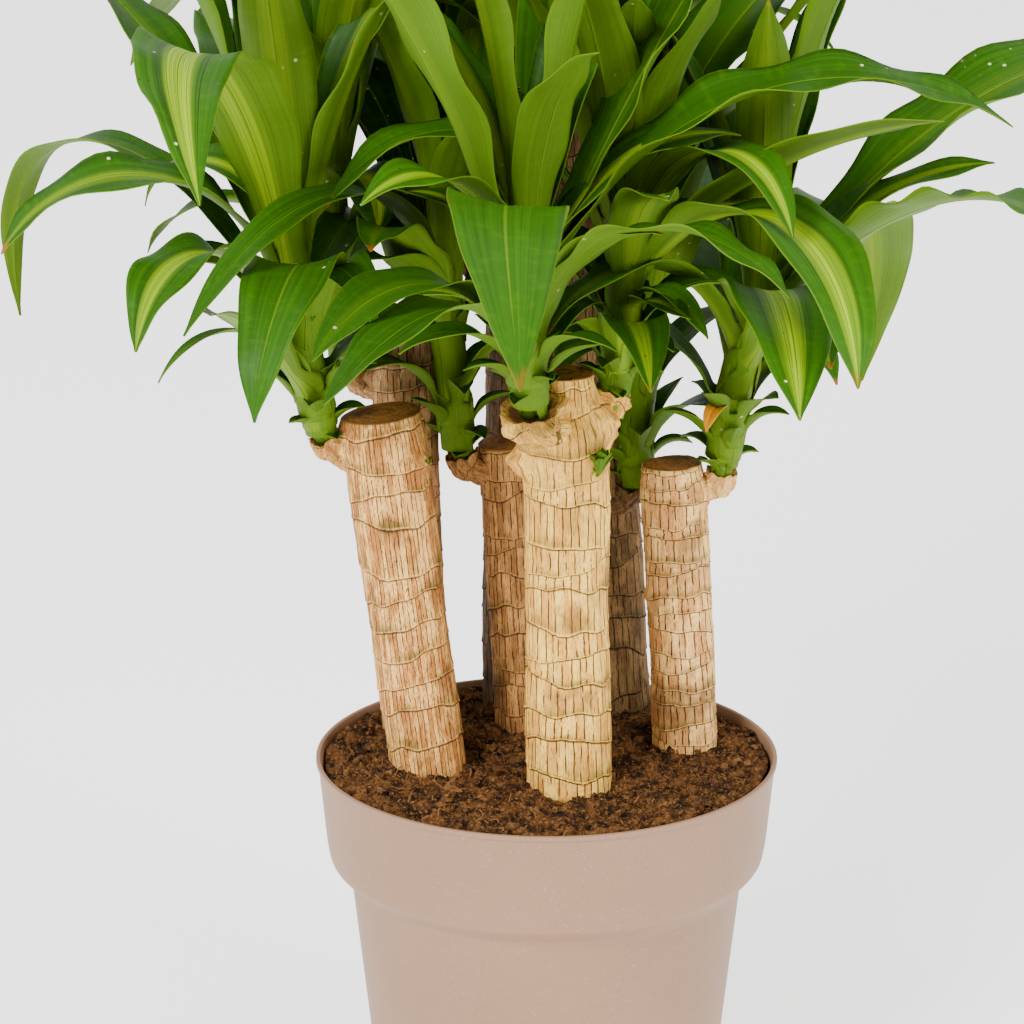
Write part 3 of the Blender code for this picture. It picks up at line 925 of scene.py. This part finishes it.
# Swellings: heading in degrees, share of the height, size and how far it stands out, in metres.
trunkKnobs = {
    "front": ((195, 0.80, 0.009, 0.013), (348, 0.90, 0.013, 0.013), (262, 0.47, 0.004, 0.003),
              (322, 0.78, 0.006, 0.003), (232, 0.86, 0.017, 0.008)),
    "left": ((325, 0.875, 0.008, 0.005), (188, 0.93, 0.012, 0.008)),
    "right": ((340, 0.90, 0.010, 0.005), (200, 0.55, 0.006, 0.003)),
    "tall": ((205, 0.42, 0.007, 0.004),),
    "rear_left": ((190, 0.85, 0.008, 0.008),),
}


def trunkEnds(trunk):
    return Vector((*trunk["foot"], soilTop)), Vector(trunk["top"])


def trunkRadius(rows, share):
    for (low, first), (high, second) in zip(rows, rows[1:]):
        if share <= high:
            return blendTo(first, second, smoothStep(share, low, high))
    return rows[-1][1]


def scarHeight(seed, step, angle, number):
    # The height of one leaf scar round the trunk, in metres above the soil.
    wave = trunkShape["scarWave"] * (step / trunkShape["commonScar"]) ** 0.7
    shift = noise.noise(Vector((number * 1.7, seed, 0.3))) * step * 0.45
    tilt = noise.noise(Vector((number * 2.3, seed, 7.7))) * 2.4
    slant = sin(angle + tilt * pi) * wave
    ragged = noise.noise(Vector((cos(angle) * 1.6, sin(angle) * 1.6, number * 3.1 + seed)))
    return number * step + shift + slant + ragged * wave * 1.3


def scarCoordinate(seed, step, angle, height):
    # A number that is whole at each scar and rises evenly between two of them.
    number = int(height / step) - 3
    while scarHeight(seed, step, angle, number + 1) <= height:
        number += 1
    low, high = scarHeight(seed, step, angle, number), scarHeight(seed, step, angle, number + 1)
    return number + (height - low) / max(high - low, 0.001)


# Roughness of the bark: waves round it, waves up it and their height, from broad swells to fine ribs.
barkWaves = ((1, 14, 0.0016), (4, 60, 0.0006), (14, 40, 0.0004))


def barkRough(angle, height, seed):
    x, y = cos(angle), sin(angle)
    return sum(noise.noise(Vector((x * fast, y * fast, height * steep + seed))) * high
               for fast, steep, high in barkWaves)


def makeTrunk(name, material):
    shape, trunk = trunkShape, trunks[name]
    foot, top = trunkEnds(trunk)
    axis = top - foot
    length = axis.length
    turn = axis.to_track_quat("Z", "Y").to_matrix()
    seed = nameSeed(name) * 0.37
    step = barks[name]["scars"]
    knobs = []
    for heading, place, size, out in trunkKnobs.get(name, ()):
        # A heading seen from above becomes an angle round the leaning trunk.
        way = turn.inverted() @ levelWay(heading)
        knobs.append((atan2(way.y, way.x), place * length, size, out))
    rows = int((length + shape["below"]) / shape["rowHeight"])
    capShare = shape["capRows"] / (rows + shape["capRows"])
    bm = startMesh("cut", "knob")
    cutLayer, knobLayer = bm.verts.layers.float["cut"], bm.verts.layers.float["knob"]
    scars = {}
    for point, u, v in addSheet(bm, shape["sides"], rows + shape["capRows"]):
        # The sheet wraps round the trunk, with its seam at the back, and closes over the sawn top.
        angle = tau * u + pi / 2
        bark = min(v / (1 - capShare), 1.0)
        height = -shape["below"] + bark * (length + shape["below"])
        radius = trunkRadius(trunk["radii"], min(max(height / length, 0.0), 1.0))
        scar = scarCoordinate(seed, step, angle, height)
        lip = shape["lip"] * (step / shape["commonScar"]) ** 0.5
        radius += lip * (exp(-(scar % 1.0) / 0.10) - exp(-(1 - scar % 1.0) / 0.06) - 0.2 * (scar % 1.0))
        radius += barkRough(angle, height, seed)
        swollen = 0.0
        for heading, place, size, out in knobs:
            away = (angle - heading + pi) % tau - pi
            far = ((away * radius) ** 2 + (height - place) ** 2) / size ** 2
            radius += out * exp(-far) * (1 + noise.noise(Vector((angle * 5, height * 160, seed))) * 0.5)
            swollen = max(swollen, exp(-far * 0.5))
        across = 1.0
        if v > 1 - capShare:
            across = max(0.0, (1 - v) / capShare)
            height = length - shape["capSag"] * across ** 6
            height += noise.noise(Vector((u * 9, across * 5, seed))) * 0.0004
            point[cutLayer] = max(1 - across, 0.03) ** 0.5
        else:
            height -= shape["capSag"] * smoothStep(bark, 1 - 0.004 / length, 1.0)
        point[knobLayer] = swollen
        scars[point] = scar
        point.co = foot + turn @ Vector((cos(angle) * radius * across, sin(angle) * radius * across, height))
    setHeights(bm, scars)
    closeSeams(bm)
    addPiece("trunk_" + name, bm, [material], ["cane_" + name], "bark")


def setHeights(bm, heights):
    # The second UV number becomes the one given for each point.
    uvLayer = bm.loops.layers.uv["UVMap"]
    for face in bm.faces:
        for loop in face.loops:
            loop[uvLayer].uv.y = heights[loop.vert]


def makeTrunks():
    materials = {}
    for name, bark in barks.items():
        tones = [shade(*tone) for tone in bark["tones"]]
        materials[name] = barkFinish("bark_" + name, *tones, cracks=bark["cracks"], fine=bark["fine"],
                                     rings=bark["rings"])
        makeTrunk(name, materials[name])
    print("trunks:", len(trunks))
    return materials


# Woody stubs that the shoots stand in

stubShape = {
    "sides": 44,
    "rows": 44,
    "armShare": 0.75,        # share of the rows on the arm, before the cup
    "armRadius": 0.0105,
    "cupRadius": 0.0112,
    "cupDepth": 0.007,
    "drop": 0.018,           # how far the arm leaves the trunk below the shoot's foot
    "highest": 0.94,         # share of the trunk above which no arm leaves it
    "elbow": 0.016,          # how far below the shoot's foot the arm turns up
    "lumps": 0.0040,
    "lumpWaves": ((1.3, 3.5), (3.2, 9), (5, 16)),
    "tear": 0.0050,
}

# Wider torn collars, where the bark has split round the shoot.
wideStubs = {"front_left": 1.85, "front_right": 1.25, "top_left": 1.3, "top_right": 1.3}


def makeStubs(materials):
    shape = stubShape
    for name, (trunkName, line) in shoots.items():
        wide = wideStubs.get(name, 1.0)
        foot, top = trunkEnds(trunks[trunkName])
        seat = Vector(line[0])
        up = (Vector(line[1]) - seat).normalized()
        share = (seat.z - shape["drop"] * min(wide, 1.3) - foot.z) / (top.z - foot.z)
        root = foot.lerp(top, min(share, shape["highest"]))
        bend = seat - up * shape["elbow"]
        bm = startMesh("cut", "knob")
        cutLayer, knobLayer = bm.verts.layers.float["cut"], bm.verts.layers.float["knob"]
        seed = nameSeed(name) * 0.53
        heights = {}
        for point, u, v in addSheet(bm, shape["sides"], shape["rows"]):
            # Most rows run out of the trunk and turn up, and the rest fold into the cup.
            w = min(v / shape["armShare"], 1.0)
            centre = root * (1 - w) ** 2 + bend * (2 * w * (1 - w)) + (seat + up * 0.001) * w ** 2
            way = ((bend - root) * (1 - w) + (seat - bend) * w).normalized()
            arm = shape["armRadius"] * (1.25 - 0.25 * smoothStep(w, 0.0, 0.5))
            radius = blendTo(arm, shape["cupRadius"], smoothStep(w, 0.55, 1.0)) * wide
            depth = 0.0
            if v > shape["armShare"]:
                q = (v - shape["armShare"]) / (1 - shape["armShare"])
                radius = blendTo(shape["cupRadius"] * wide, 0.0, smoothStep(q, 0.02, 1.0) ** 0.8)
                depth = shape["cupDepth"] * smoothStep(q, 0.0, 0.6)
                point[cutLayer] = smoothStep(q, 0.15, 0.6) * 0.3
            angle = tau * u
            around = Vector((cos(angle), sin(angle), 0.0))
            low, middle, high = (noise.noise(around * fast + Vector((0.0, seed, w * steep)))
                                 for fast, steep in shape["lumpWaves"])
            lumps = (low + middle * 0.45 + abs(high) * 0.3) * shape["lumps"]
            radius = max(0.0, radius + lumps * radius / shape["cupRadius"])
            torn = shape["tear"] * wide * smoothStep(w, 0.6, 1.0)
            lift = noise.noise(around * 1.9 + Vector((0.0, 0.0, seed))) * torn
            side, front = crossAxes(way)
            point[knobLayer] = 0.8
            heights[point] = seed + w * 2.6 + lumps * 90
            point.co = centre + (side * cos(angle) + front * sin(angle)) * radius + up * (lift - depth)
        setHeights(bm, heights)
        closeSeams(bm)
        addPiece("stub_" + name, bm, [materials[trunkName]], (), "bark")
    print("stubs:", len(shoots))


# Soil and pot

soilShape = {
    "rings": 130,
    "sides": 300,
    "deep": 0.030,           # how far down the fill is drawn
    "underShare": 0.03,      # share of the rows under it
    "crumbs": 3000,
    "crumbSize": (0.0006, 0.0036),
    "fibres": 240,
    "fibreLength": (0.005, 0.022),
    "fibreWidth": 0.0007,
}


# Waves of the soil from mounds to crumbs: how close, how high, and where each one's noise starts.
soilWaves = ((14, 0.0060, (0, 0, 0)), (48, 0.0055, (0, 0, 3)), (120, 0.0036, (5, 0, 0)),
             (260, 0.0020, (0, 8, 0)))


def soilHeight(x, y):
    where = Vector((x, y, 0.0))
    waves = sum(high * noise.noise(where * close + Vector(start)) for close, high, start in soilWaves)
    return soilTop + 0.0055 + waves - 0.0015 * smoothStep(where.length, 0.13, 0.165)


def scatter(rng, reach):
    angle, far = rng.uniform(0, tau), reach * rng.random() ** 0.5
    return cos(angle) * far, sin(angle) * far


def makeSoil(material):
    shape = soilShape
    low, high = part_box("soil")
    edge = (high[0] - low[0]) / 2
    bm = startMesh("tone")
    for point, u, v in addSheet(bm, shape["sides"], shape["rings"]):
        angle = tau * u
        # The first rows go under and up the side, as the fill does inside the pot.
        under = shape["underShare"]
        if v < under:
            radius, height = edge * 0.96 * (v / under), soilTop - shape["deep"]
        else:
            radius = edge * (1 - (v - under) / (1 - under)) ** 0.75
            height = soilHeight(cos(angle) * radius, sin(angle) * radius)
        point.co = (cos(angle) * radius, sin(angle) * radius, height)
    closeSeams(bm)
    addPiece("compost", bm, [material], ["soil"], "soil")

    # Loose crumbs, chips and pale root fibres on top.
    loose = startMesh("tone")
    rng = random.Random("soil")
    for i in range(shape["crumbs"]):
        x, y = scatter(rng, edge * 0.985)
        size = blendTo(*shape["crumbSize"], rng.random() ** 2.2)
        made = bmesh.ops.create_cube(loose, size=size * 1.6)["verts"]
        rest = Vector((x, y, soilHeight(x, y) + size * 0.2))
        stretch = Vector((rng.uniform(0.6, 1.7), rng.uniform(0.6, 1.2), rng.uniform(0.4, 0.9)))
        turn = Vector((rng.uniform(-1, 1), rng.uniform(-1, 1), rng.uniform(-1, 1))).to_track_quat("Z", "Y")
        for vert in made:
            bumpy = [value * part * rng.uniform(0.55, 1.25) for value, part in zip(vert.co, stretch)]
            vert.co = rest + turn @ Vector(bumpy)
        paintPoints(loose, made, tone=rng.random() ** 5 * 0.9)
    for i in range(shape["fibres"]):
        x, y = scatter(rng, edge * 0.96)
        heading = rng.uniform(0, tau)
        length, curl = blendTo(*shape["fibreLength"], rng.random() ** 2), rng.uniform(-1.6, 1.6)
        width = shape["fibreWidth"] * rng.uniform(0.6, 1.5)
        made = addSheet(loose, 1, 6)
        for vert, u, v in made:
            way = heading + curl * (v - 0.5)
            cx = x + cos(way) * length * (v - 0.5) - sin(way) * width * (u - 0.5)
            cy = y + sin(way) * length * (v - 0.5) + cos(way) * width * (u - 0.5)
            reach = min((cx * cx + cy * cy) ** 0.5, edge)
            vert.co = (cx, cy, soilHeight(cx, cy) + 0.0010 + 0.002 * sin(pi * v) * (reach < edge))
        paintPoints(loose, [vert for vert, u, v in made], tone=0.35 + 0.65 * rng.random())
    addPiece("crumbs", loose, [material], (), "soil", smooth=False)
    print("soil")


potShape = {
    "sides": 200,
    "wall": 0.003,
    "collarDepth": 0.070,
    "bodyTop": 0.1445,
    "foot": 0.122,
    "pad": 0.045,
    "recess": 0.004,
}


def roundCorner(points, steps=5, share=0.35):
    # The outline with each inner corner cut into a short curve.
    smoothed = [points[0]]
    for before, corner, after in zip(points, points[1:], points[2:]):
        reach = min((corner - before).length, (after - corner).length) * share
        first = corner + (before - corner).normalized() * reach
        last = corner + (after - corner).normalized() * reach
        for i in range(steps + 1):
            t = i / steps
            smoothed.append(first * (1 - t) ** 2 + corner * (2 * t * (1 - t)) + last * t ** 2)
    return smoothed + [points[-1]]


def makePot(material):
    sides, wall, collar, body, foot, pad, recess = potShape.values()
    low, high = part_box("pot")
    rim = (high[0] - low[0]) / 2
    height = high[2]
    shoulder = height - collar - 0.020
    outline = [(0.0, recess + wall), (foot - wall, recess + wall), (body - wall, shoulder - 0.004),
               (rim - 0.013, shoulder + 0.016), (rim - 0.0045, height - 0.004), (rim - 0.0030, height),
               (rim, height), (rim, height - 0.0035), (rim - 0.0016, height - 0.0045),
               (rim - 0.0075, height - collar + 0.006), (rim - 0.010, shoulder + 0.012),
               (body + 0.0015, shoulder), (body, shoulder - 0.006), (foot, 0.003), (foot - 0.002, 0.0),
               (foot - 0.014, 0.0), (foot - 0.016, recess), (pad + 0.003, recess), (pad, 0.0),
               (0.0, 0.0)]
    smoothed = roundCorner([Vector((radius, 0.0, z)) for radius, z in outline])
    bm = bmesh.new()
    made = [bm.verts.new(point) for point in smoothed]
    edges = [bm.edges.new(pair) for pair in zip(made, made[1:])]
    bmesh.ops.spin(bm, geom=made + edges, cent=(0, 0, 0), axis=(0, 0, 1), angle=tau, steps=sides,
                   use_merge=True)
    closeSeams(bm)
    addPiece("nursery_pot", bm, [material], ["pot"], "pot_plastic")
    print("pot")


def main():
    makeStudio()
    finishes = [leafFinish("leafUnder", under=True), leafFinish("leafTop")]
    makePot(potFinish())
    makeSoil(soilFinish())
    makeStubs(makeTrunks())
    makeStems(finishes, stemFinish())
    makeLeaves(finishes)


main()
